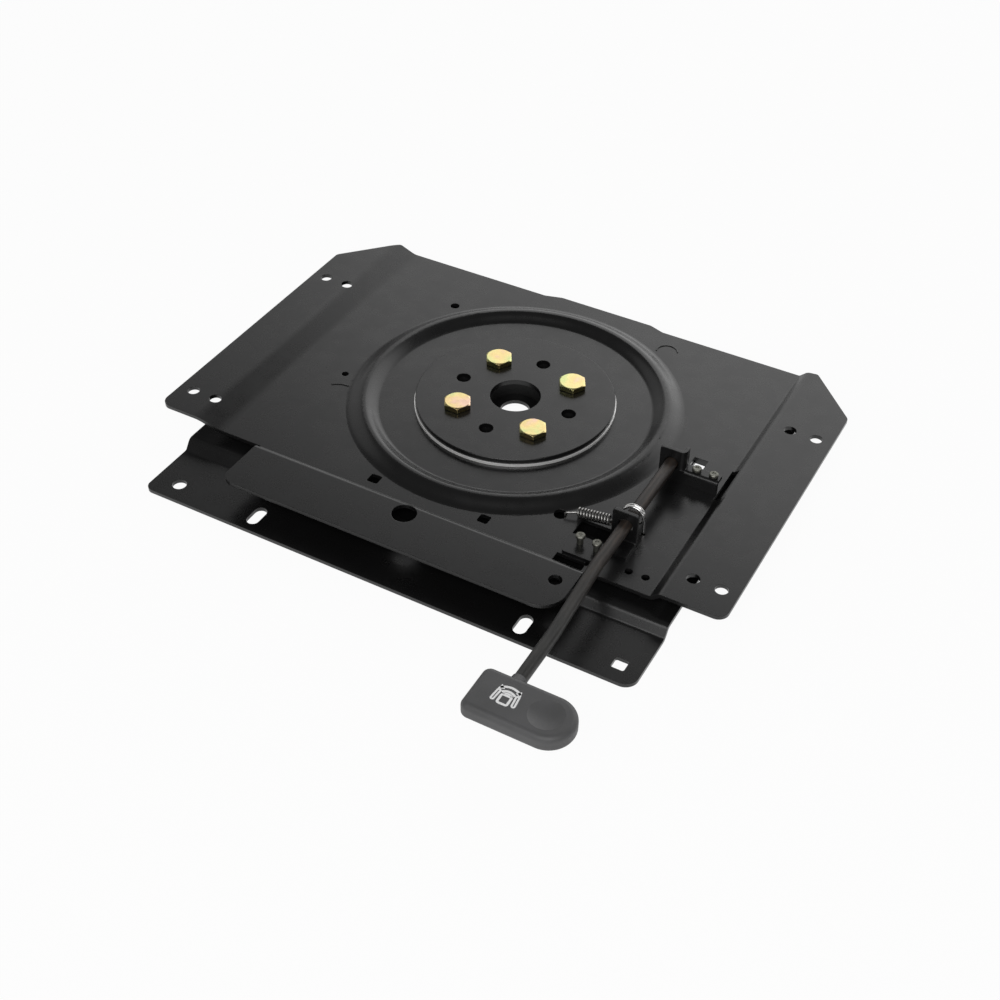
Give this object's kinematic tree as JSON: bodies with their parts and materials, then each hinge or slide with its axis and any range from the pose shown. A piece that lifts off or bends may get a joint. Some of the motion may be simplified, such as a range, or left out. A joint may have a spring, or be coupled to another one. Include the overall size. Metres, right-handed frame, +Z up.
{
  "type": "swivel seat base",
  "caption": "Low steel swivel base for a vehicle seat: an upper plate with raised wings turns on a bolted hub over a flanged lower plate, released by a sprung side lever.",
  "frame": {"origin": "on the swivel axis, at the lower end of the centre bore in the lower plate", "axes": "+Z up along the swivel axis, +X to the right seen from the lever side, -Y towards the lever and the front flange"},
  "size_m": [0.45, 0.445, 0.0467],
  "materials": {
    "black_powder": "semi-gloss black powder coat",
    "black_nylon": "matt black nylon",
    "bright_steel": "bright drawn steel",
    "yellow_zinc": "yellow zinc plate",
    "dull_steel": "dull steel",
    "dark_rod": "thin brown-black coat, satin",
    "handle_plastic": "fine-textured dark grey plastic"
  },
  "bodies": {
    "base": {"lower_plate": "black_powder", "backing_plate": "black_powder", "lower_slide_ring": "black_nylon", "hub_spacer": "black_powder", "upper_slide_ring": "black_nylon", "bearing_race": "bright_steel", "hub_disc": "black_powder", "pivot_bolt_1": "yellow_zinc", "pivot_bolt_2": "yellow_zinc", "pivot_bolt_3": "yellow_zinc", "pivot_bolt_4": "yellow_zinc"},
    "upper": {"upper_plate": "black_powder", "rear_bracket": "black_powder", "front_bracket": "black_powder", "rear_rivet_1": "dull_steel", "rear_rivet_2": "dull_steel", "front_rivet_1": "dull_steel", "front_rivet_2": "dull_steel", "torsion_spring": "bright_steel", "pull_spring": "bright_steel"},
    "lever": {"lever_rod": "dark_rod", "lever_handle": "handle_plastic", "lock_pawl": "dark_rod", "spring_lug": "dark_rod"}
  },
  "joints": [
    {"name": "swivel", "type": "hinge", "parent": "base", "child": "upper", "pos_m": [0, 0, 0], "axis": [0, 0, 1], "range_deg": [-180, 180]},
    {"name": "release_lever", "type": "hinge", "parent": "upper", "child": "lever", "pos_m": [0.1371, 0, 0.0255], "axis": [0, -1, 0], "range_deg": [-16, 14], "stiffness_Nm_per_rad": 0.3, "springref_deg": -16, "deforming": ["torsion_spring", "pull_spring"]}
  ]
}
